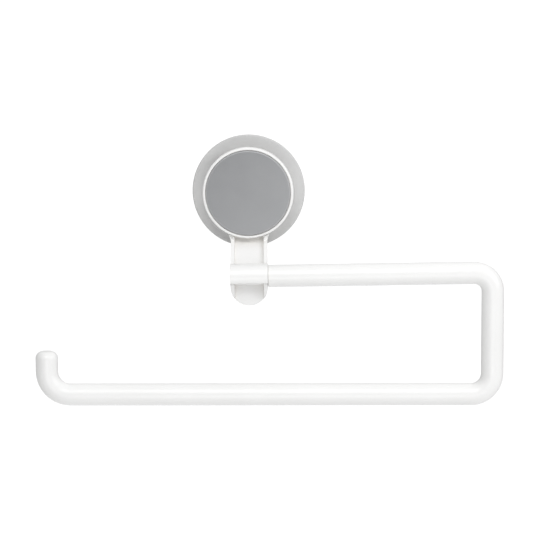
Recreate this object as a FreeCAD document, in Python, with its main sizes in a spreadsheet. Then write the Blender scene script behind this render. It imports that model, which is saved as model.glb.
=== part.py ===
import FreeCAD, Part
import math
import os
import Sketcher
from FreeCAD import Vector

# Wall-mounted paper towel holder: a twist-lock suction mount carrying a bent rod.
# Frame: X to the right, Z up, -Y out of the wall; Y = 0 is the wall.
# Depths below are distances out of the wall, so a depth of d lies at Y = -d.

DIMS = {
    # suction cup
    "cup_radius": 37.5,
    "cup_edge_depth": 2.6,
    "boss_radius": 12.5,
    "boss_depth": 4.8,
    "flange_radius": 9.5,
    "flange_back": 1.8,
    "flange_front": 3.4,
    # stud
    "hex_across_flats": 14.0,
    "hex_front": 10.4,
    "thread_radius": 6.0,
    "stud_front": 16.7,
    "stud_pilot_radius": 1.5,
    "stud_pilot_length": 9.0,
    # bracket ring and plate
    "plate_back": 7.6,
    "plate_front": 10.0,
    "ring_radius": 29.3,
    "ring_wall": 2.1,
    "ring_back": 2.7,
    "ring_front": 11.9,
    "plate_hex_across_flats": 14.6,
    "rib_width": 1.6,
    "rib_length": 12.4,
    "rib_height": 2.6,
    # bracket neck, barrel and tongue
    "neck_half_width": 12.1,
    "channel_half_width": 9.6,
    "root_fillet": 12.0,
    "shoulder_front": 17.0,
    "knob_clearance_radius": 30.5,
    "axis_depth": 32.0,
    "axis_drop": 53.82,
    "barrel_radius": 8.4,
    "barrel_half_width": 12.5,
    "lip_drop": 3.7,
    "tongue_centre_drop": 61.75,
    "tongue_front": 27.8,
    "tongue_thickness": 2.8,
    "bore_radius": 3.05,
    "counterbore_radius": 5.0,
    "counterbore_length": 4.25,
    # knob
    "knob_radius": 30.1,
    "knob_back": 12.4,
    "knob_rim_front": 19.9,
    "knob_wall": 1.9,
    "web_back": 17.0,
    "web_front": 19.0,
    "hub_radius": 13.0,
    "hub_back": 10.7,
    "nut_back": 11.9,
    "nut_front": 14.4,
    "nut_across_flats": 17.0,
    "nut_bore_radius": 6.05,
    "well_radius": 9.85,
    "hub_hole_radius": 8.6,
    "recess_radius": 28.4,
    "face_radius": 28.05,
    "face_front": 20.4,
    "face_edge_radius": 0.9,
    "collar_outer_radius": 9.8,
    "collar_inner_radius": 9.0,
    "collar_back": 17.6,
    # small hardware
    "thrust_front": 10.6,
    "thrust_inner_radius": 9.5,
    "thrust_outer_radius": 13.0,
    "stud_washer_radius": 8.3,
    "washer_thickness": 0.8,
    "washer_hole_radius": 1.7,
    "stud_screw_head_radius": 3.5,
    "stud_screw_head_height": 1.4,
    "screw_shank_radius": 1.45,
    "screw_length": 8.0,
    "pivot_head_radius": 2.75,
    "pivot_head_height": 1.6,
    "cross_width": 0.8,
    "cross_depth": 0.8,
    # rod
    "rod_radius": 7.4,
    "rod_start": 12.65,
    "rod_right": 159.66,
    "rod_right_height": -96.7,
    "lower_arm_drop": 132.6,
    "lower_arm_tilt": 0.79,
    "hook_left": -134.93,
    "hook_left_height": -112.9,
    "hook_top": -101.6,
    "bend_top": 12.2,
    "bend_bottom": 14.0,
    "bend_hook": 15.6,
    "tip_fillet": 4.7,
    "pin_radius": 3.0,
    "pin_left": -8.4,
    "pin_embed": 22.0,
    "pin_tap_radius": 1.5,
    "pin_tap_length": 9.0,
    "cap_thickness": 1.3,
    "pivot_washer_radius": 4.7,
}

FRONT = "XZ_Plane"   # sketch (x, z), normal towards the viewer
SIDE = "YZ_Plane"    # sketch (y, z), normal to the right
TOP = "XY_Plane"     # sketch (x, y), used for profiles turned about Y

doc = FreeCAD.newDocument("PaperTowelHolder")
sheet = doc.addObject("Spreadsheet::Sheet", "Dims")
for row, (alias, value) in enumerate(DIMS.items(), start=1):
    sheet.set("A%d" % row, alias)
    sheet.set("B%d" % row, "%g" % value)
    sheet.setAlias("B%d" % row, alias)
doc.recompute()


def dim(name):
    return DIMS[name]


def bind(obj, prop, expression):
    """Tie a property to the spreadsheet; words that are aliases get the sheet's name."""
    words = []
    for word in expression.split():
        words.append("Dims." + word if word in DIMS else word)
    obj.setExpression(prop, " ".join(words))


def new_body(label):
    body = doc.addObject("PartDesign::Body", label)
    body.Label = label
    return body


def new_sketch(body, role, name, shift="0"):
    """A sketch on one of the body's origin planes, moved along its normal."""
    plane = [f for f in body.Origin.OriginFeatures if f.Role == role][0]
    sketch = body.newObject("Sketcher::SketchObject", name)
    sketch.AttachmentSupport = [(plane, "")]
    sketch.MapMode = "FlatFace"
    bind(sketch, ".AttachmentOffset.Base.z", shift)
    return sketch


def trace(sketch, path):
    """Draw a closed outline from corners (x, y) or (x, y, r); r rounds the corner."""
    count = len(path)
    entries = []
    for i, corner in enumerate(path):
        here = Vector(corner[0], corner[1], 0)
        radius = corner[2] if len(corner) > 2 else 0.0
        if radius == 0.0:
            entries.append((here, None, here))
            continue
        before = Vector(path[i - 1][0], path[i - 1][1], 0)
        after = Vector(path[(i + 1) % count][0], path[(i + 1) % count][1], 0)
        entries.append(round_corner(before, here, after, radius))
    add_segments(sketch, entries, closed=True)


def round_corner(before, here, after, radius):
    """Tangent point in, middle of the arc, tangent point out."""
    towards_in = (before - here).normalize()
    towards_out = (after - here).normalize()
    half = towards_in.getAngle(towards_out) / 2
    reach = radius / math.tan(half)
    bisector = (towards_in + towards_out).normalize()
    centre = here + bisector * (radius / math.sin(half))
    middle = centre - bisector * radius
    return here + towards_in * reach, middle, here + towards_out * reach


def add_segments(sketch, entries, closed):
    pieces = []
    for i, (start, middle, end) in enumerate(entries):
        if middle is not None:
            pieces.append(Part.Arc(start, middle, end))
        if i + 1 < len(entries) or closed:
            following = entries[(i + 1) % len(entries)][0]
            if (following - end).Length > 1e-6:
                pieces.append(Part.LineSegment(end, following))
    ids = [sketch.addGeometry(piece, False) for piece in pieces]
    pairs = list(zip(ids, ids[1:]))
    if closed:
        pairs.append((ids[-1], ids[0]))
    for first, second in pairs:
        join_ends(sketch, first, second)


def join_ends(sketch, first, second):
    """Coincidence between the two ends that already meet."""
    for a in (1, 2):
        for b in (1, 2):
            gap = (sketch.getPoint(first, a) - sketch.getPoint(second, b)).Length
            if gap < 1e-6:
                sketch.addConstraint(Sketcher.Constraint("Coincident", first, a, second, b))
                return


def circle(sketch, radius_name, x=0.0, y=0.0):
    """A circle whose radius follows the spreadsheet."""
    shape = Part.Circle(Vector(x, y, 0), Vector(0, 0, 1), dim(radius_name))
    index = sketch.addGeometry(shape, False)
    constraint = sketch.addConstraint(Sketcher.Constraint("Radius", index, dim(radius_name)))
    bind(sketch, "Constraints[%d]" % constraint, radius_name)
    return index


def hexagon(across_flats):
    """Corners of a hexagon with a flat at the top and bottom."""
    corner = across_flats / math.sqrt(3)
    turns = [math.radians(60 * k) for k in range(6)]
    return [(corner * math.cos(t), corner * math.sin(t)) for t in turns]


def grow(body, kind, sketch, name, length):
    """Pad or Pocket of a sketch by a length taken from the spreadsheet."""
    feature = body.newObject("PartDesign::" + kind, name)
    feature.Profile = sketch
    bind(feature, "Length", length)
    sketch.Visibility = False
    return feature


def turn(body, kind, sketch, name):
    """Revolution or Groove of a sketch about its own vertical axis."""
    feature = body.newObject("PartDesign::" + kind, name)
    feature.Profile = sketch
    feature.ReferenceAxis = (sketch, ["V_Axis"])
    feature.Angle = 360
    sketch.Visibility = False
    return feature


def turned_body(label, profile):
    """A round piece about Y, from (radius, depth) corners."""
    body = new_body(label)
    sketch = new_sketch(body, TOP, label + "_profile")
    trace(sketch, [(c[0], -c[1]) + tuple(c[2:]) for c in profile])
    turn(body, "Revolution", sketch, label + "_turned")
    return body


def cross_recess(body, role, name, face, x=0.0, y=0.0):
    """A cross-shaped driver recess sunk into a screw head."""
    for k, (wide, tall) in enumerate([(1.6, dim("cross_width") / 2), (dim("cross_width") / 2, 1.6)]):
        sketch = new_sketch(body, role, "%s_slot%d" % (name, k), face)
        left, right = x - wide, x + wide
        low, high = y - tall, y + tall
        trace(sketch, [(left, low), (right, low), (right, high), (left, high)])
        slot = grow(body, "Pocket", sketch, "%s_cut%d" % (name, k), "cross_depth")
        slot.Reversed = role == SIDE


AXIS_Y = -dim("axis_depth")
AXIS_Z = -dim("axis_drop")


def make_suction_cup():
    """Flat-backed soft disc with shallow sealing grooves and a boss that grips the stud flange."""
    edge = dim("cup_edge_depth")
    radius = dim("cup_radius")
    profile = [(0, 0)]
    for inner in (14.0, 19.5, 25.0):
        profile += [(inner, 0), (inner + 0.5, 0.45), (inner + 2.5, 0.45), (inner + 3.0, 0)]
    profile += [
        (radius - 0.5, 0, 0.3),
        (radius, 0.6, 0.3),
        (radius, edge, 1.0),
        (dim("boss_radius") + 2.4, edge, 1.5),
        (dim("boss_radius"), dim("boss_depth"), 0.8),
        (8.4, dim("boss_depth")),
        (8.4, dim("flange_front")),
        (dim("flange_radius"), dim("flange_front")),
        (dim("flange_radius"), dim("flange_back")),
        (0, dim("flange_back")),
    ]
    return turned_body("suction_cup", profile)


def make_cup_stud():
    """Flange, hexagonal neck that stops the stud turning, and the threaded end."""
    body = new_body("cup_stud")
    flange = new_sketch(body, FRONT, "flange_outline", "flange_back")
    circle(flange, "flange_radius")
    grow(body, "Pad", flange, "flange", "flange_front - flange_back")
    neck = new_sketch(body, FRONT, "hex_outline", "flange_front")
    trace(neck, hexagon(dim("hex_across_flats")))
    grow(body, "Pad", neck, "hex_neck", "hex_front - flange_front")
    thread = new_sketch(body, FRONT, "thread_outline", "hex_front")
    circle(thread, "thread_radius")
    grow(body, "Pad", thread, "threaded_end", "stud_front - hex_front")
    pilot = new_sketch(body, FRONT, "pilot_outline", "stud_front")
    circle(pilot, "stud_pilot_radius")
    grow(body, "Pocket", pilot, "screw_pilot", "stud_pilot_length")
    return body


def make_bracket():
    """Pressure ring and plate, channelled neck, pivot barrel and scooped tongue in one moulding."""
    ring = dim("ring_radius")
    inner = ring - dim("ring_wall")
    half = dim("neck_half_width")
    body = turned_body("bracket", [
        (0, dim("plate_back")),
        (inner, dim("plate_back"), 0.8),
        (inner, dim("ring_back"), 0.4),
        (ring, dim("ring_back"), 0.6),
        (ring, dim("ring_front"), 0.6),
        (inner + 0.4, dim("ring_front"), 0.4),
        (inner, dim("plate_front"), 0.5),
        (0, dim("plate_front")),
    ])

    # root of the neck, flared into the ring
    flare = dim("root_fillet")
    centre_x = half + flare
    centre_z = -math.sqrt((ring + flare) ** 2 - centre_x ** 2)
    touch_x = centre_x * ring / (ring + flare)
    touch_z = centre_z * ring / (ring + flare)
    lean = (math.pi + math.atan2(touch_z - centre_z, touch_x - centre_x)) / 2
    mid_x = centre_x + flare * math.cos(lean)
    mid_z = centre_z + flare * math.sin(lean)
    root = new_sketch(body, FRONT, "root_outline", "plate_back")
    left = (Vector(-touch_x, touch_z, 0), Vector(-mid_x, mid_z, 0), Vector(-half, centre_z, 0))
    right = (Vector(half, centre_z, 0), Vector(mid_x, mid_z, 0), Vector(touch_x, touch_z, 0))
    low_left = (Vector(-half, -33.7, 0), None, Vector(-half, -33.7, 0))
    low_right = (Vector(half, -33.7, 0), None, Vector(half, -33.7, 0))
    add_segments(root, [left, low_left, low_right, right], closed=True)
    grow(body, "Pad", root, "neck_root", "shoulder_front - plate_back")

    # neck and tongue, seen from the side
    tip_drop = dim("tongue_centre_drop") + half
    tip = dim("tongue_front")
    shoulder = dim("shoulder_front")
    side = new_sketch(body, SIDE, "neck_outline", "0 - neck_half_width")
    corners = [
        (dim("plate_back"), -26),
        (shoulder, -26),
        (shoulder, -31.8, 2.5),
        (30.5, -45.3),
        (32.0, -50.0),
        (36.9, -56.0),
        (37.4, -58.5, 2),
        (tip + 0.8, -71.0, 3),
        (tip, -tip_drop),
        (tip - dim("tongue_thickness"), -tip_drop),
        (24.6, -60, 8),
        (24.0, -46.4, 8),
        (11.8, -34.2, 3),
        (dim("plate_back"), -34.2),
    ]
    trace(side, [(-c[0],) + tuple(c[1:]) for c in corners])
    grow(body, "Pad", side, "neck", "2 * neck_half_width")

    # round end of the tongue
    trim = new_sketch(body, FRONT, "tongue_trim_outline", "axis_depth + 12")
    top = -dim("tongue_centre_drop")
    arc = (Vector(-half, top, 0), Vector(0, top - half, 0), Vector(half, top, 0))
    outside = [(half + 2, top), (half + 2, top - half - 4), (-half - 2, top - half - 4), (-half - 2, top)]
    add_segments(trim, [arc] + [(Vector(x, z, 0), None, Vector(x, z, 0)) for x, z in outside], closed=True)
    grow(body, "Pocket", trim, "tongue_trim", "axis_depth + 12")

    # channel down the front of the neck, shallowest where it meets the barrel
    channel = new_sketch(body, SIDE, "channel_outline", "channel_half_width")
    cut = [(14.2, -26.5), (14.2, -31.6, 5), (29.0, -46.2), (40, -46.2), (40, -26.5)]
    trace(channel, [(-c[0],) + tuple(c[1:]) for c in cut])
    grow(body, "Pocket", channel, "neck_channel", "2 * channel_half_width")

    # scoop below the barrel, running out at the tip of the tongue
    scoop = new_sketch(body, SIDE, "scoop_outline", "channel_half_width")
    cut = [(31.8, -54.0), (26.9, -tip_drop - 2), (44, -tip_drop - 2), (44, -54.0)]
    trace(scoop, [(-c[0],) + tuple(c[1:]) for c in cut])
    grow(body, "Pocket", scoop, "scoop", "2 * channel_half_width")

    # pivot barrel: round on top and in front, cut off along a lip below
    reach = dim("barrel_radius")
    lip_z = AXIS_Z - dim("lip_drop")
    lip_y = AXIS_Y - math.sqrt(reach ** 2 - dim("lip_drop") ** 2)
    heel_y = AXIS_Y + 7.0
    heel_z = lip_z - 3.8
    barrel = new_sketch(body, SIDE, "barrel_outline", "0 - barrel_half_width")
    crown = (Vector(heel_y, AXIS_Z + math.sqrt(reach ** 2 - 49), 0), Vector(AXIS_Y, AXIS_Z + reach, 0),
             Vector(AXIS_Y - reach, AXIS_Z, 0))
    nose = (Vector(AXIS_Y - reach, AXIS_Z, 0),
            Vector(AXIS_Y - reach * math.cos(0.2), AXIS_Z - reach * math.sin(0.2), 0),
            Vector(lip_y, lip_z, 0))
    heel = (Vector(heel_y, heel_z, 0), None, Vector(heel_y, heel_z, 0))
    add_segments(barrel, [crown, nose, heel], closed=True)
    grow(body, "Pad", barrel, "barrel", "2 * barrel_half_width")

    # round clearance that lets the shoulder of the neck follow the knob's skirt
    room = new_sketch(body, FRONT, "knob_clearance_outline", "axis_depth + 12")
    circle(room, "knob_clearance_radius")
    grow(body, "Pocket", room, "knob_clearance", "axis_depth + 12 - ring_front")

    # pivot bore, counterbored at the blind side
    bore = new_sketch(body, SIDE, "bore_outline", "barrel_half_width")
    circle(bore, "bore_radius", AXIS_Y, AXIS_Z)
    grow(body, "Pocket", bore, "pivot_bore", "2 * barrel_half_width")
    recess = new_sketch(body, SIDE, "counterbore_outline", "0 - barrel_half_width")
    circle(recess, "counterbore_radius", AXIS_Y, AXIS_Z)
    grow(body, "Pocket", recess, "counterbore", "counterbore_length").Reversed = True

    # hexagonal hole that keys the plate to the stud
    key = new_sketch(body, FRONT, "key_outline", "plate_front")
    trace(key, hexagon(dim("plate_hex_across_flats")))
    grow(body, "Pocket", key, "key_hole", "plate_front - plate_back")

    # stiffening ribs behind the plate
    rib = new_sketch(body, FRONT, "rib_outline", "plate_back - rib_height")
    reach_in = inner + 0.4 - dim("rib_length")
    wide = dim("rib_width") / 2
    trace(rib, [(-wide, reach_in), (wide, reach_in), (wide, inner + 0.4), (-wide, inner + 0.4)])
    ribs = grow(body, "Pad", rib, "rib", "rib_height")
    pattern = body.newObject("PartDesign::PolarPattern", "ribs")
    pattern.Originals = [ribs]
    pattern.Axis = (rib, ["N_Axis"])
    pattern.Angle = 360
    pattern.Occurrences = 6
    body.Tip = pattern
    return body


def make_knob():
    """Hollow round grip: rim, web, hub with a nut pocket, and ribs behind the web."""
    outer = dim("knob_radius")
    inner = outer - dim("knob_wall")
    body = turned_body("knob", [
        (dim("hub_hole_radius"), dim("hub_back")),
        (dim("hub_radius"), dim("hub_back"), 0.4),
        (dim("hub_radius"), dim("web_back"), 0.8),
        (inner, dim("web_back"), 1.0),
        (inner, dim("knob_back"), 0.3),
        (outer, dim("knob_back"), 0.6),
        (outer, dim("knob_rim_front"), 1.0),
        (dim("recess_radius"), dim("knob_rim_front"), 0.2),
        (dim("recess_radius"), dim("web_front")),
        (dim("well_radius"), dim("web_front")),
        (dim("well_radius"), dim("nut_front")),
        (dim("hub_hole_radius"), dim("nut_front")),
    ])
    pocket = new_sketch(body, FRONT, "nut_pocket_outline", "nut_front")
    trace(pocket, hexagon(dim("nut_across_flats")))
    grow(body, "Pocket", pocket, "nut_pocket", "nut_front - nut_back")
    rib = new_sketch(body, FRONT, "grip_rib_outline", "web_back - 3")
    rib_half = 0.7
    overlap = 0.5
    rib_low, rib_high = dim("hub_radius") - overlap, inner + overlap
    trace(rib, [(-rib_half, rib_low), (rib_half, rib_low), (rib_half, rib_high), (-rib_half, rib_high)])
    first = grow(body, "Pad", rib, "grip_rib", "3")
    pattern = body.newObject("PartDesign::PolarPattern", "grip_ribs")
    pattern.Originals = [first]
    pattern.Axis = (rib, ["N_Axis"])
    pattern.Angle = 360
    pattern.Occurrences = 8
    body.Tip = pattern
    return body


def make_knob_nut():
    """Hexagonal nut seated in the hub."""
    body = new_body("knob_nut")
    outline = new_sketch(body, FRONT, "nut_outline", "nut_back")
    trace(outline, hexagon(dim("nut_across_flats")))
    circle(outline, "nut_bore_radius")
    grow(body, "Pad", outline, "nut", "nut_front - nut_back")
    return body


def make_face_plate():
    """Cover disc with a rounded edge and a collar that plugs into the hub's well."""
    return turned_body("face_plate", [
        (0, dim("web_front")),
        (dim("collar_inner_radius"), dim("web_front")),
        (dim("collar_inner_radius"), dim("collar_back")),
        (dim("collar_outer_radius"), dim("collar_back")),
        (dim("collar_outer_radius"), dim("web_front")),
        (dim("face_radius"), dim("web_front")),
        (dim("face_radius"), dim("face_front"), dim("face_edge_radius")),
        (0, dim("face_front")),
    ])


def make_thrust_washer():
    """Low-friction ring between the hub and the bracket plate."""
    return turned_body("thrust_washer", [
        (dim("thrust_inner_radius"), dim("plate_front")),
        (dim("thrust_outer_radius"), dim("plate_front")),
        (dim("thrust_outer_radius"), dim("thrust_front")),
        (dim("thrust_inner_radius"), dim("thrust_front")),
    ])


def make_stud_washer():
    """Washer on the stud end that stops the knob coming off."""
    front = dim("stud_front") + dim("washer_thickness")
    return turned_body("stud_washer", [
        (dim("washer_hole_radius"), dim("stud_front")),
        (dim("stud_washer_radius"), dim("stud_front")),
        (dim("stud_washer_radius"), front),
        (dim("washer_hole_radius"), front),
    ])


def make_stud_screw():
    """Pan-head screw that holds the washer to the stud."""
    seat = dim("stud_front") + dim("washer_thickness")
    top = seat + dim("stud_screw_head_height")
    body = turned_body("stud_screw", [
        (0, seat - dim("screw_length")),
        (dim("screw_shank_radius"), seat - dim("screw_length"), 0.4),
        (dim("screw_shank_radius"), seat),
        (dim("stud_screw_head_radius"), seat),
        (dim("stud_screw_head_radius"), top, 0.7),
        (0, top),
    ])
    cross_recess(body, FRONT, "stud_cross", "stud_front + washer_thickness + stud_screw_head_height")
    return body


def rod_path():
    """Centreline of the rod as (start, middle, end) entries: arm, upright, lower arm, hook."""
    tilt = math.tan(math.radians(dim("lower_arm_tilt")))

    def on_upright(x, z, at_z):
        return Vector(x + (at_z - z) * tilt, at_z, 0)

    def foot(x, z):
        """Where the line square to the lower arm through (x, z) crosses it."""
        base = -dim("lower_arm_drop")
        at_z = (base - tilt * (x - z * tilt)) / (1 + tilt ** 2)
        return on_upright(x, z, at_z)

    start = Vector(dim("rod_start"), AXIS_Z, 0)
    corner_top = on_upright(dim("rod_right"), dim("rod_right_height"), AXIS_Z)
    corner_low = foot(dim("rod_right"), dim("rod_right_height"))
    corner_hook = foot(dim("hook_left"), dim("hook_left_height"))
    tip = on_upright(dim("hook_left"), dim("hook_left_height"), dim("hook_top"))
    return [
        (start, None, start),
        round_corner(start, corner_top, corner_low, dim("bend_top")),
        round_corner(corner_top, corner_low, corner_hook, dim("bend_bottom")),
        round_corner(corner_low, corner_hook, tip, dim("bend_hook")),
        (tip, None, tip),
    ]


def make_rod():
    """Bent rod: upper arm, upright, long lower arm and upturned hook with a rounded tip."""
    body = new_body("rod")
    path = new_sketch(body, FRONT, "rod_centreline", "axis_depth")
    add_segments(path, rod_path(), closed=False)
    section = new_sketch(body, SIDE, "rod_section", "rod_start")
    circle(section, "rod_radius", AXIS_Y, AXIS_Z)
    pipe = body.newObject("PartDesign::AdditivePipe", "bent_rod")
    pipe.Profile = section
    pipe.Spine = path
    doc.recompute()
    flat_faces = [f for f in pipe.Shape.Faces if f.Surface.TypeId == "Part::GeomPlane"]
    tip_face = max(flat_faces, key=lambda f: f.CenterOfMass.z - abs(f.CenterOfMass.x - dim("hook_left")))
    names = ["Edge%d" % (i + 1) for i, edge in enumerate(pipe.Shape.Edges)
             if any(edge.isSame(other) for other in tip_face.Edges)]
    tip = body.newObject("PartDesign::Fillet", "rounded_tip")
    tip.Base = (pipe, names)
    bind(tip, "Radius", "tip_fillet")
    socket = new_sketch(body, SIDE, "socket_outline", "rod_start")
    circle(socket, "pin_radius", AXIS_Y, AXIS_Z)
    grow(body, "Pocket", socket, "pin_socket", "pin_embed").Reversed = True
    return body


def make_pivot_pin():
    """Steel pin pressed into the rod's upper arm and turning in the barrel."""
    body = new_body("pivot_pin")
    outline = new_sketch(body, SIDE, "pin_outline", "pin_left")
    circle(outline, "pin_radius", AXIS_Y, AXIS_Z)
    grow(body, "Pad", outline, "pin", "rod_start - pin_left + pin_embed")
    tap = new_sketch(body, SIDE, "tap_outline", "pin_left")
    circle(tap, "pin_tap_radius", AXIS_Y, AXIS_Z)
    grow(body, "Pocket", tap, "pin_tap", "pin_tap_length").Reversed = True
    return body


def make_pivot_washer():
    """Washer on the pin's end, inside the counterbore."""
    body = new_body("pivot_washer")
    outline = new_sketch(body, SIDE, "pivot_washer_outline", "pin_left - washer_thickness")
    circle(outline, "pivot_washer_radius", AXIS_Y, AXIS_Z)
    circle(outline, "washer_hole_radius", AXIS_Y, AXIS_Z)
    grow(body, "Pad", outline, "washer", "washer_thickness")
    return body


def make_pivot_screw():
    """Pan-head screw that keeps the pin in the barrel."""
    body = new_body("pivot_screw")
    head_face = "pin_left - washer_thickness - pivot_head_height"
    head = new_sketch(body, SIDE, "pivot_head_outline", head_face)
    circle(head, "pivot_head_radius", AXIS_Y, AXIS_Z)
    grow(body, "Pad", head, "pivot_head", "pivot_head_height")
    shank = new_sketch(body, SIDE, "pivot_shank_outline", "pin_left - washer_thickness")
    circle(shank, "screw_shank_radius", AXIS_Y, AXIS_Z)
    grow(body, "Pad", shank, "pivot_shank", "screw_length")
    cross_recess(body, SIDE, "pivot_cross", head_face, AXIS_Y, AXIS_Z)
    return body


def make_barrel_cap():
    """Press-in disc that closes the counterbore."""
    body = new_body("barrel_cap")
    outline = new_sketch(body, SIDE, "cap_outline", "0 - barrel_half_width")
    circle(outline, "counterbore_radius", AXIS_Y, AXIS_Z)
    grow(body, "Pad", outline, "cap", "cap_thickness")
    return body


parts = [
    make_suction_cup(),
    make_cup_stud(),
    make_bracket(),
    make_thrust_washer(),
    make_knob(),
    make_knob_nut(),
    make_stud_washer(),
    make_stud_screw(),
    make_face_plate(),
    make_rod(),
    make_pivot_pin(),
    make_pivot_washer(),
    make_pivot_screw(),
    make_barrel_cap(),
]
doc.recompute()

for obj in doc.Objects:
    if "Invalid" in obj.State or "Error" in obj.State:
        raise RuntimeError("feature did not build: %s (%s)" % (obj.Name, obj.State))

os.makedirs("parts", exist_ok=True)
for part in parts:
    shape = part.Shape
    if shape.isNull() or not shape.isValid():
        raise RuntimeError("bad shape: " + part.Label)
    if len(shape.Solids) != 1:
        raise RuntimeError("%s has %d solids" % (part.Label, len(shape.Solids)))
    shape.exportStep("parts/%s.step" % part.Label)
    box = shape.BoundBox
    print("%-14s volume %9.1f  x %.1f..%.1f  y %.1f..%.1f  z %.1f..%.1f" % (
        part.Label, shape.Volume, box.XMin, box.XMax, box.YMin, box.YMax, box.ZMin, box.ZMax))
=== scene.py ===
import math

import bpy
from mathutils import Matrix, Vector


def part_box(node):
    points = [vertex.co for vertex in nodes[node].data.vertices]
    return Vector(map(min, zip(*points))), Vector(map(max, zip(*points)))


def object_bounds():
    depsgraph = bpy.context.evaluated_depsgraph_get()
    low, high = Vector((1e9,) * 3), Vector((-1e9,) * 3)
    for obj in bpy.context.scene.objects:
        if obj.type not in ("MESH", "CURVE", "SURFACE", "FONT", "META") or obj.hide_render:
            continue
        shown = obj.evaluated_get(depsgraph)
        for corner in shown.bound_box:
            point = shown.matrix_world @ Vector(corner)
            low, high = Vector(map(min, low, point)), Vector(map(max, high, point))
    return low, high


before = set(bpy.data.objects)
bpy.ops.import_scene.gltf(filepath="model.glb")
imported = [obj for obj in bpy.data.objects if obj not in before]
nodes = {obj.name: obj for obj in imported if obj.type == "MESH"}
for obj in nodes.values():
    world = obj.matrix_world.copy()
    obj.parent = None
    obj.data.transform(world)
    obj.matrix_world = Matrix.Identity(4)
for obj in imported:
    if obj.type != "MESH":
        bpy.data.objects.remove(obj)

cad_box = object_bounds()
scene = bpy.context.scene
scene.view_settings.view_transform = "Standard"
scene.view_settings.look = "None"

# ---------------------------------------------------------------- camera
CAMERA_ELEVATION = math.radians(7.16)
CAMERA_AZIMUTH = math.radians(0.85)
CAMERA_ROLL = math.radians(0.98)
CAMERA_DISTANCE = 1.5
CAMERA_LENS = 148.86
CAMERA_SENSOR = 36.0
CAMERA_REACH = 50.0
# the point looked at: the middle of the holder on the wall plane, moved by this much
CAMERA_SHIFT = Vector((0.00079, 0.0, -0.00161))
lowest, highest = (Vector(corner) for corner in cad_box)
middle = (lowest + highest) / 2
CAMERA_TARGET = Vector((middle.x, highest.y, middle.z)) + CAMERA_SHIFT


def add_camera():
    """The camera looks at the holder from slightly above, a touch from the right, rolled by a degree."""
    back = Vector((
        math.sin(CAMERA_AZIMUTH) * math.cos(CAMERA_ELEVATION),
        -math.cos(CAMERA_AZIMUTH) * math.cos(CAMERA_ELEVATION),
        math.sin(CAMERA_ELEVATION),
    ))
    right = Vector((0, 0, 1)).cross(back).normalized()
    up = back.cross(right)
    rolled_right = right * math.cos(CAMERA_ROLL) - up * math.sin(CAMERA_ROLL)
    rolled_up = up * math.cos(CAMERA_ROLL) + right * math.sin(CAMERA_ROLL)
    data = bpy.data.cameras.new("camera")
    data.lens = CAMERA_LENS
    data.sensor_width = CAMERA_SENSOR
    data.clip_end = CAMERA_REACH
    camera = bpy.data.objects.new("camera", data)
    rotation = Matrix((rolled_right, rolled_up, back)).transposed()
    position = CAMERA_TARGET + back * CAMERA_DISTANCE
    camera.matrix_world = Matrix.Translation(position) @ rotation.to_4x4()
    scene.collection.objects.link(camera)
    scene.camera = camera


add_camera()


# ---------------------------------------------------------------- light and floor
X, Y, Z = range(3)
WORLD_BASE = 0.02
WORLD_SEEN = 1.1
# axis, side of it, strength of the surroundings on that side
WORLD_LEVELS = (
    (Z, 1, 1.0),
    (Z, -1, 1.4),
    (X, 1, 0.2),
    (X, -1, 0.2),
    (Y, 1, 0.3),
)
LAMP_DISTANCE = 1.5
LAMP_SIZE = 0.6
# degrees to the right of the viewer, degrees up and watts
LAMPS = {
    "key_lamp": (0, 40, 7.5),
    "side_lamp": (55, 20, 6.5),
    "fill_lamp": (0, -15, 4.0),
}
FLOOR_HALF_WIDTH = 6.0
FLOOR_HEIGHT = -0.55
FLOOR_COLOUR = (0.9, 0.9, 0.9, 1)
FLOOR_ROUGHNESS = 0.9
FLOOR_GLOW = 0.5
PLAIN_WHITE = (1, 1, 1, 1)


def add_lamp(name, azimuth, elevation, power):
    """A soft square lamp aimed at the middle of the holder."""
    data = bpy.data.lights.new(name, "AREA")
    data.energy = power
    data.size = LAMP_SIZE
    lamp = bpy.data.objects.new(name, data)
    around = math.radians(azimuth)
    above = math.radians(elevation)
    towards = Vector((
        math.sin(around) * math.cos(above),
        -math.cos(around) * math.cos(above),
        math.sin(above),
    ))
    lamp.location = CAMERA_TARGET + towards * LAMP_DISTANCE
    lamp.rotation_mode = "QUATERNION"
    lamp.rotation_quaternion = towards.to_track_quat("Z", "Y")
    scene.collection.objects.link(lamp)


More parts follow.
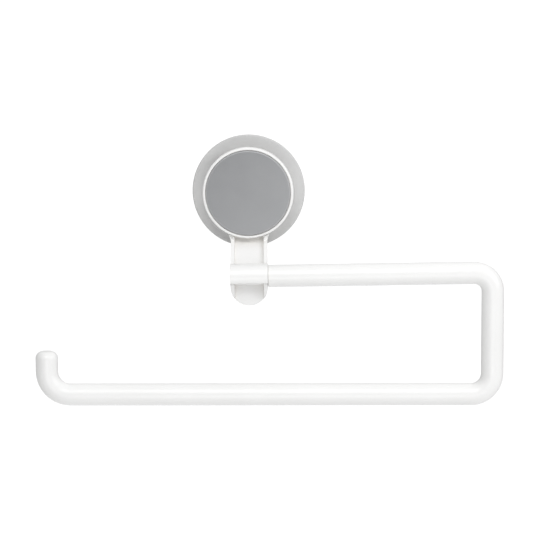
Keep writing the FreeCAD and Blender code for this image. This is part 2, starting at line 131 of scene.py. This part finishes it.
def add_world():
    """Surroundings that fade smoothly from side to side, and plain white where the camera sees them."""
    world = bpy.data.worlds.new("studio")
    world.use_nodes = True
    tree = world.node_tree
    tree.nodes.clear()
    coords = tree.nodes.new("ShaderNodeTexCoord")
    split = tree.nodes.new("ShaderNodeSeparateXYZ")
    tree.links.new(coords.outputs["Generated"], split.inputs[0])
    total = None
    for axis, side, level in WORLD_LEVELS:
        facing = tree.nodes.new("ShaderNodeMath")
        facing.operation = "MULTIPLY"
        facing.inputs[1].default_value = side * level
        tree.links.new(split.outputs[axis], facing.inputs[0])
        lit = tree.nodes.new("ShaderNodeMath")
        lit.operation = "MAXIMUM"
        lit.inputs[1].default_value = 0.0
        tree.links.new(facing.outputs[0], lit.inputs[0])
        add = tree.nodes.new("ShaderNodeMath")
        add.operation = "ADD"
        add.inputs[1].default_value = WORLD_BASE
        tree.links.new(lit.outputs[0], add.inputs[0])
        if total is not None:
            tree.links.new(total.outputs[0], add.inputs[1])
        total = add
    around = tree.nodes.new("ShaderNodeBackground")
    tree.links.new(total.outputs[0], around.inputs["Strength"])
    plain = tree.nodes.new("ShaderNodeBackground")
    plain.inputs["Color"].default_value = PLAIN_WHITE
    plain.inputs["Strength"].default_value = WORLD_SEEN
    rays = tree.nodes.new("ShaderNodeLightPath")
    mix = tree.nodes.new("ShaderNodeMixShader")
    out = tree.nodes.new("ShaderNodeOutputWorld")
    tree.links.new(rays.outputs["Is Camera Ray"], mix.inputs["Fac"])
    tree.links.new(around.outputs[0], mix.inputs[1])
    tree.links.new(plain.outputs[0], mix.inputs[2])
    tree.links.new(mix.outputs[0], out.inputs["Surface"])
    scene.world = world


def add_floor():
    """A pale floor well below the holder, which casts and bounces nothing onto it."""
    mesh = bpy.data.meshes.new("floor")
    corners = []
    for along, across in ((-1, -1), (1, -1), (1, 1), (-1, 1)):
        corners.append((along * FLOOR_HALF_WIDTH, across * FLOOR_HALF_WIDTH, FLOOR_HEIGHT))
    mesh.from_pydata(corners, [], [(0, 1, 2, 3)])
    floor = bpy.data.objects.new("floor", mesh)
    material = bpy.data.materials.new("floor")
    material.use_nodes = True
    shader = material.node_tree.nodes["Principled BSDF"]
    shader.inputs["Base Color"].default_value = FLOOR_COLOUR
    shader.inputs["Roughness"].default_value = FLOOR_ROUGHNESS
    shader.inputs["Emission Color"].default_value = PLAIN_WHITE
    shader.inputs["Emission Strength"].default_value = FLOOR_GLOW
    mesh.materials.append(material)
    scene.collection.objects.link(floor)
    floor.visible_diffuse = False
    floor.visible_glossy = False
    floor.visible_shadow = False


add_world()
add_floor()
for lamp_name, placing in LAMPS.items():
    add_lamp(lamp_name, *placing)


# ---------------------------------------------------------------- materials
# colours are linear red, green and blue
WHITE_LOW = (0.853, 0.853, 0.847)
WHITE_HIGH = (0.873, 0.873, 0.869)
WHITE_SPECK = (0.7, 0.69, 0.67)
# painted shade: the darker, warmer colour laid into corners and creases
WHITE_PAINTED_CORNER_SHADE = (0.78, 0.762, 0.735)
# the grey runs from low to high, partly as random tone and partly as painted light towards the lower right
GREY_LOW = (0.252, 0.256, 0.264)
GREY_HIGH = (0.338, 0.343, 0.352)
GREY_SPECK = (0.36, 0.365, 0.375)
# painted highlight colour for the ring just inside the face's rim
GREY_RIM_HIGHLIGHT = (0.4, 0.405, 0.415)
RUBBER_LOW = (0.553, 0.553, 0.553)
RUBBER_HIGH = (0.582, 0.582, 0.58)
RUBBER_SPECK = (0.47, 0.47, 0.465)
TARNISH_SHADE = 0.6
# painted light: the grey is drawn lighter along this direction, towards the lower right
GREY_PAINTED_LIGHT_FLOW = (math.sqrt(0.5), 0.0, -math.sqrt(0.5))
FACE_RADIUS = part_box("face_plate")[1][0]
ROD_DEPTH = -(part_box("rod")[0][1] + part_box("rod")[1][1]) / 2
RUBBER_RING_PITCH = 0.0009
# sockets of a Mix node that mixes colours
MIX_AMOUNT, MIX_FIRST, MIX_SECOND, MIX_RESULT = 0, 6, 7, 2
EDGE_AND_CORNER_RAYS = 8


class Shading:
    """One material's node tree, with short ways to add the nodes that the finishes below share."""

    def __init__(self, name, **sockets):
        self.material = bpy.data.materials.new(name)
        self.material.use_nodes = True
        self.tree = self.material.node_tree
        self.shader = self.tree.nodes["Principled BSDF"]
        self.place = self.tree.nodes.new("ShaderNodeTexCoord").outputs["Object"]
        for socket, value in sockets.items():
            self.shader.inputs[socket.replace("_", " ")].default_value = value

    def add(self, kind, links=(), **settings):
        """A node with attributes set and inputs either linked or given a plain value."""
        node = self.tree.nodes.new(kind)
        for key, value in settings.items():
            setattr(node, key, value)
        for socket, value in links:
            if isinstance(value, bpy.types.NodeSocket):
                self.tree.links.new(value, node.inputs[socket])
            else:
                node.inputs[socket].default_value = value
        return node

    def math(self, operation, first, second=0.0):
        """One arithmetic step on two values or sockets."""
        return self.add("ShaderNodeMath", ((0, first), (1, second)), operation=operation).outputs[0]

    def remap(self, value, start, end, low, high, smooth=False):
        """The value's start..end stretched to low..high, held at both ends."""
        kind = "SMOOTHSTEP" if smooth else "LINEAR"
        span = (("From Min", start), ("From Max", end), ("To Min", low), ("To Max", high))
        made = self.add("ShaderNodeMapRange", (("Value", value), *span), interpolation_type=kind)
        return made.outputs["Result"]

    def noise(self, size, low, high, detail=3.0):
        """Soft irregular variation from low to high, with features about size metres across."""
        links = (("Vector", self.place), ("Scale", 1.0 / size), ("Detail", detail))
        made = self.add("ShaderNodeTexNoise", links)
        return self.remap(made.outputs["Fac"], 0.3, 0.7, low, high)

    def blend(self, amount, first, second):
        """Mix of two colours, each a tuple or a colour socket."""
        links = []
        for socket, value in ((MIX_AMOUNT, amount), (MIX_FIRST, first), (MIX_SECOND, second)):
            links.append((socket, (*value, 1.0) if isinstance(value, tuple) else value))
        return self.add("ShaderNodeMix", links, data_type="RGBA").outputs[MIX_RESULT]

    def axes(self):
        """The three coordinates of the point, in the frame's metres."""
        return self.add("ShaderNodeSeparateXYZ", ((0, self.place),)).outputs

    def rings(self, pitch):
        """A wave from 0 to 1 in circles this many metres apart round the turning axis."""
        wave = self.math("SINE", self.math("MULTIPLY", self.radius(), 2 * math.pi / pitch))
        return self.remap(wave, start=-1.0, end=1.0, low=0.0, high=1.0)

    def radius(self):
        """Distance from the knob's and cup's turning axis."""
        x, _, z = self.axes()
        return self.math("SQRT", self.math("ADD", self.math("MULTIPLY", x, x), self.math("MULTIPLY", z, z)))

    def soft_edges(self, width):
        """Normals that round sharp edges over this many metres."""
        made = self.add("ShaderNodeBevel", (("Radius", width),), samples=EDGE_AND_CORNER_RAYS)
        return made.outputs["Normal"]

    def relief(self, height, depth, below=None):
        """Bump of this depth in metres for a height that runs from 0 to 1."""
        links = [("Height", height), ("Distance", depth), ("Strength", 1.0)]
        if below is not None:
            links.append(("Normal", below))
        return self.add("ShaderNodeBump", links).outputs["Normal"]

    def painted_corner_shade(self, reach, start, end):
        """Mask for painted shade: 0 on open surfaces and 1 deep in a corner, looking this many metres
        around.
        """
        shade = self.add("ShaderNodeAmbientOcclusion", (("Distance", reach),), samples=EDGE_AND_CORNER_RAYS)
        return self.remap(shade.outputs["AO"], start, end, 1.0, 0.0)

    def finish(self, colour, roughness, normal):
        """Join the three results to the shader and hand back the material."""
        self.tree.links.new(colour, self.shader.inputs["Base Color"])
        self.tree.links.new(roughness, self.shader.inputs["Roughness"])
        self.tree.links.new(normal, self.shader.inputs["Normal"])
        return self.material


def white_plastic(name, parting_depth=None):
    """Semi-gloss white moulding: faint flow tone, fine spark grain, soft edges, painted warm shade in
    corners.

    With a parting depth, a fine raised line runs round the piece that far out of the wall.
    """
    mat = Shading(name, IOR=1.5)
    tone = mat.blend(mat.noise(size=0.028, low=0.0, high=1.0), WHITE_LOW, WHITE_HIGH)
    tone = mat.blend(mat.noise(size=0.0011, low=0.0, high=0.06, detail=2.0), tone, WHITE_SPECK)
    # painted shade: corners and creases are darkened and warmed through an occlusion mask
    tone = mat.blend(mat.painted_corner_shade(reach=0.009, start=0.3, end=0.95), tone, WHITE_PAINTED_CORNER_SHADE)
    clouds = mat.noise(size=0.009, low=0.3, high=0.36)
    rough = mat.math("ADD", clouds, mat.noise(size=0.0008, low=0.0, high=0.03))
    normal = mat.soft_edges(width=0.00045)
    normal = mat.relief(mat.noise(size=0.021, low=0.0, high=1.0, detail=1.0), depth=0.00007, below=normal)
    grain = mat.noise(size=0.00035, low=0.0, high=1.0, detail=2.0)
    normal = mat.relief(grain, depth=0.0000045, below=normal)
    if parting_depth is not None:
        offset = mat.math("ABSOLUTE", mat.math("ADD", mat.axes()[Y], parting_depth))
        ridge = mat.remap(offset, start=0.00003, end=0.00014, low=1.0, high=0.0, smooth=True)
        normal = mat.relief(ridge, depth=0.00003, below=normal)
    return mat.finish(tone, rough, normal)


def grey_plastic():
    """Satin grey cover: painted light brightening the disc towards the lower right over a slow random tone,
    a painted highlight on the rim, a fine moulded grain.
    """
    mat = Shading("grey_plastic", IOR=1.5)
    # painted light: a ramp across the disc makes the grey lighter towards the lower right, with random tone
    # added
    across = mat.add("ShaderNodeVectorMath", ((0, mat.place), (1, GREY_PAINTED_LIGHT_FLOW)), operation="DOT_PRODUCT")
    flow = mat.remap(across.outputs["Value"], start=-FACE_RADIUS, end=FACE_RADIUS, low=0.0, high=0.8)
    painted_light_and_tone = mat.math("ADD", flow, mat.noise(size=0.016, low=0.0, high=0.2))
    tone = mat.blend(painted_light_and_tone, GREY_LOW, GREY_HIGH)
    tone = mat.blend(mat.noise(size=0.0007, low=0.0, high=0.06, detail=2.0), tone, GREY_SPECK)
    # painted highlight: a lighter ring, broken up by noise, just inside the face's rounded rim
    rim_start = FACE_RADIUS - 0.001
    rim_end = FACE_RADIUS - 0.0007
    painted_rim_highlight = mat.remap(mat.radius(), start=rim_start, end=rim_end, low=0.0, high=1.0, smooth=True)
    tone = mat.blend(mat.math("MULTIPLY", painted_rim_highlight, mat.noise(size=0.004, low=0.7, high=1.0)), tone, GREY_RIM_HIGHLIGHT)
    clouds = mat.noise(size=0.012, low=0.4, high=0.46)
    rough = mat.math("ADD", clouds, mat.noise(size=0.0006, low=0.0, high=0.05))
    normal = mat.soft_edges(width=0.0003)
    normal = mat.relief(mat.noise(size=0.0003, low=0.0, high=1.0, detail=2.0), depth=0.000007, below=normal)
    return mat.finish(tone, rough, normal)


def cup_rubber():
    """Soft light grey rubber: cloudy tone, dull bloom and faint turned rings from its mould."""
    mat = Shading("cup_rubber", IOR=1.48, Sheen_Weight=0.08)
    tone = mat.blend(mat.noise(size=0.014, low=0.0, high=1.0), RUBBER_LOW, RUBBER_HIGH)
    tone = mat.blend(mat.noise(size=0.0014, low=0.0, high=0.1), tone, RUBBER_SPECK)
    clouds = mat.noise(size=0.011, low=0.46, high=0.56)
    rough = mat.math("ADD", clouds, mat.noise(size=0.001, low=0.0, high=0.05))
    normal = mat.soft_edges(width=0.0004)
    normal = mat.relief(mat.rings(RUBBER_RING_PITCH), depth=0.0000035, below=normal)
    normal = mat.relief(mat.noise(size=0.0006, low=0.0, high=1.0, detail=2.0), depth=0.000009, below=normal)
    return mat.finish(tone, rough, normal)


def natural_plastic(name, low, high, rough_low, rough_high):
    """Unpigmented slippery plastic, a little translucent."""
    mat = Shading(name, IOR=1.52, Subsurface_Weight=0.15, Subsurface_Scale=0.002)
    tone = mat.blend(mat.noise(size=0.006, low=0.0, high=1.0), low, high)
    rough = mat.noise(size=0.003, low=rough_low, high=rough_high)
    grain = mat.noise(size=0.0004, low=0.0, high=1.0, detail=2.0)
    normal = mat.relief(grain, depth=0.000006, below=mat.soft_edges(width=0.0003))
    return mat.finish(tone, rough, normal)


def turned_metal(name, low, high, rough_low, rough_high, pitch):
    """Machined metal: tarnish in soft patches and fine rings centred on the knob's turning axis."""
    mat = Shading(name, Metallic=1.0)
    tone = mat.blend(mat.noise(size=0.004, low=0.0, high=1.0), low, high)
    tarnish = tuple(TARNISH_SHADE * channel for channel in low)
    tone = mat.blend(mat.noise(size=0.0006, low=0.0, high=0.15), tone, tarnish)
    clouds = mat.noise(size=0.003, low=rough_low, high=rough_high)
    rough = mat.math("ADD", clouds, mat.noise(size=0.0003, low=0.0, high=0.06))
    normal = mat.relief(mat.rings(pitch), depth=0.000001, below=mat.soft_edges(width=0.0002))
    normal = mat.relief(mat.noise(size=0.0002, low=0.0, high=1.0, detail=2.0), depth=0.000002, below=normal)
    return mat.finish(tone, rough, normal)


WHITE = white_plastic("white_plastic")
STEEL = turned_metal(
    "fastener_steel",
    low=(0.58, 0.59, 0.6), high=(0.66, 0.67, 0.69),
    rough_low=0.24, rough_high=0.34, pitch=0.00025,
)
BRASS = turned_metal(
    "nut_brass",
    low=(0.74, 0.56, 0.28), high=(0.82, 0.65, 0.36),
    rough_low=0.22, rough_high=0.32, pitch=0.0003,
)
NYLON = natural_plastic(
    "stud_plastic",
    low=(0.79, 0.78, 0.74), high=(0.83, 0.82, 0.79),
    rough_low=0.38, rough_high=0.48,
)
ACETAL = natural_plastic(
    "washer_plastic",
    low=(0.73, 0.73, 0.69), high=(0.77, 0.77, 0.74),
    rough_low=0.3, rough_high=0.38,
)
FINISHES = {
    "suction_cup": cup_rubber(),
    "cup_stud": NYLON,
    "bracket": WHITE,
    "thrust_washer": ACETAL,
    "knob": WHITE,
    "knob_nut": BRASS,
    "stud_washer": STEEL,
    "stud_screw": STEEL,
    "face_plate": grey_plastic(),
    "rod": white_plastic("white_plastic_rod", parting_depth=ROD_DEPTH),
    "pivot_pin": STEEL,
    "pivot_washer": STEEL,
    "pivot_screw": STEEL,
    "barrel_cap": WHITE,
}

for name, finish in FINISHES.items():
    mesh = nodes[name].data
    mesh.materials.clear()
    mesh.materials.append(finish)
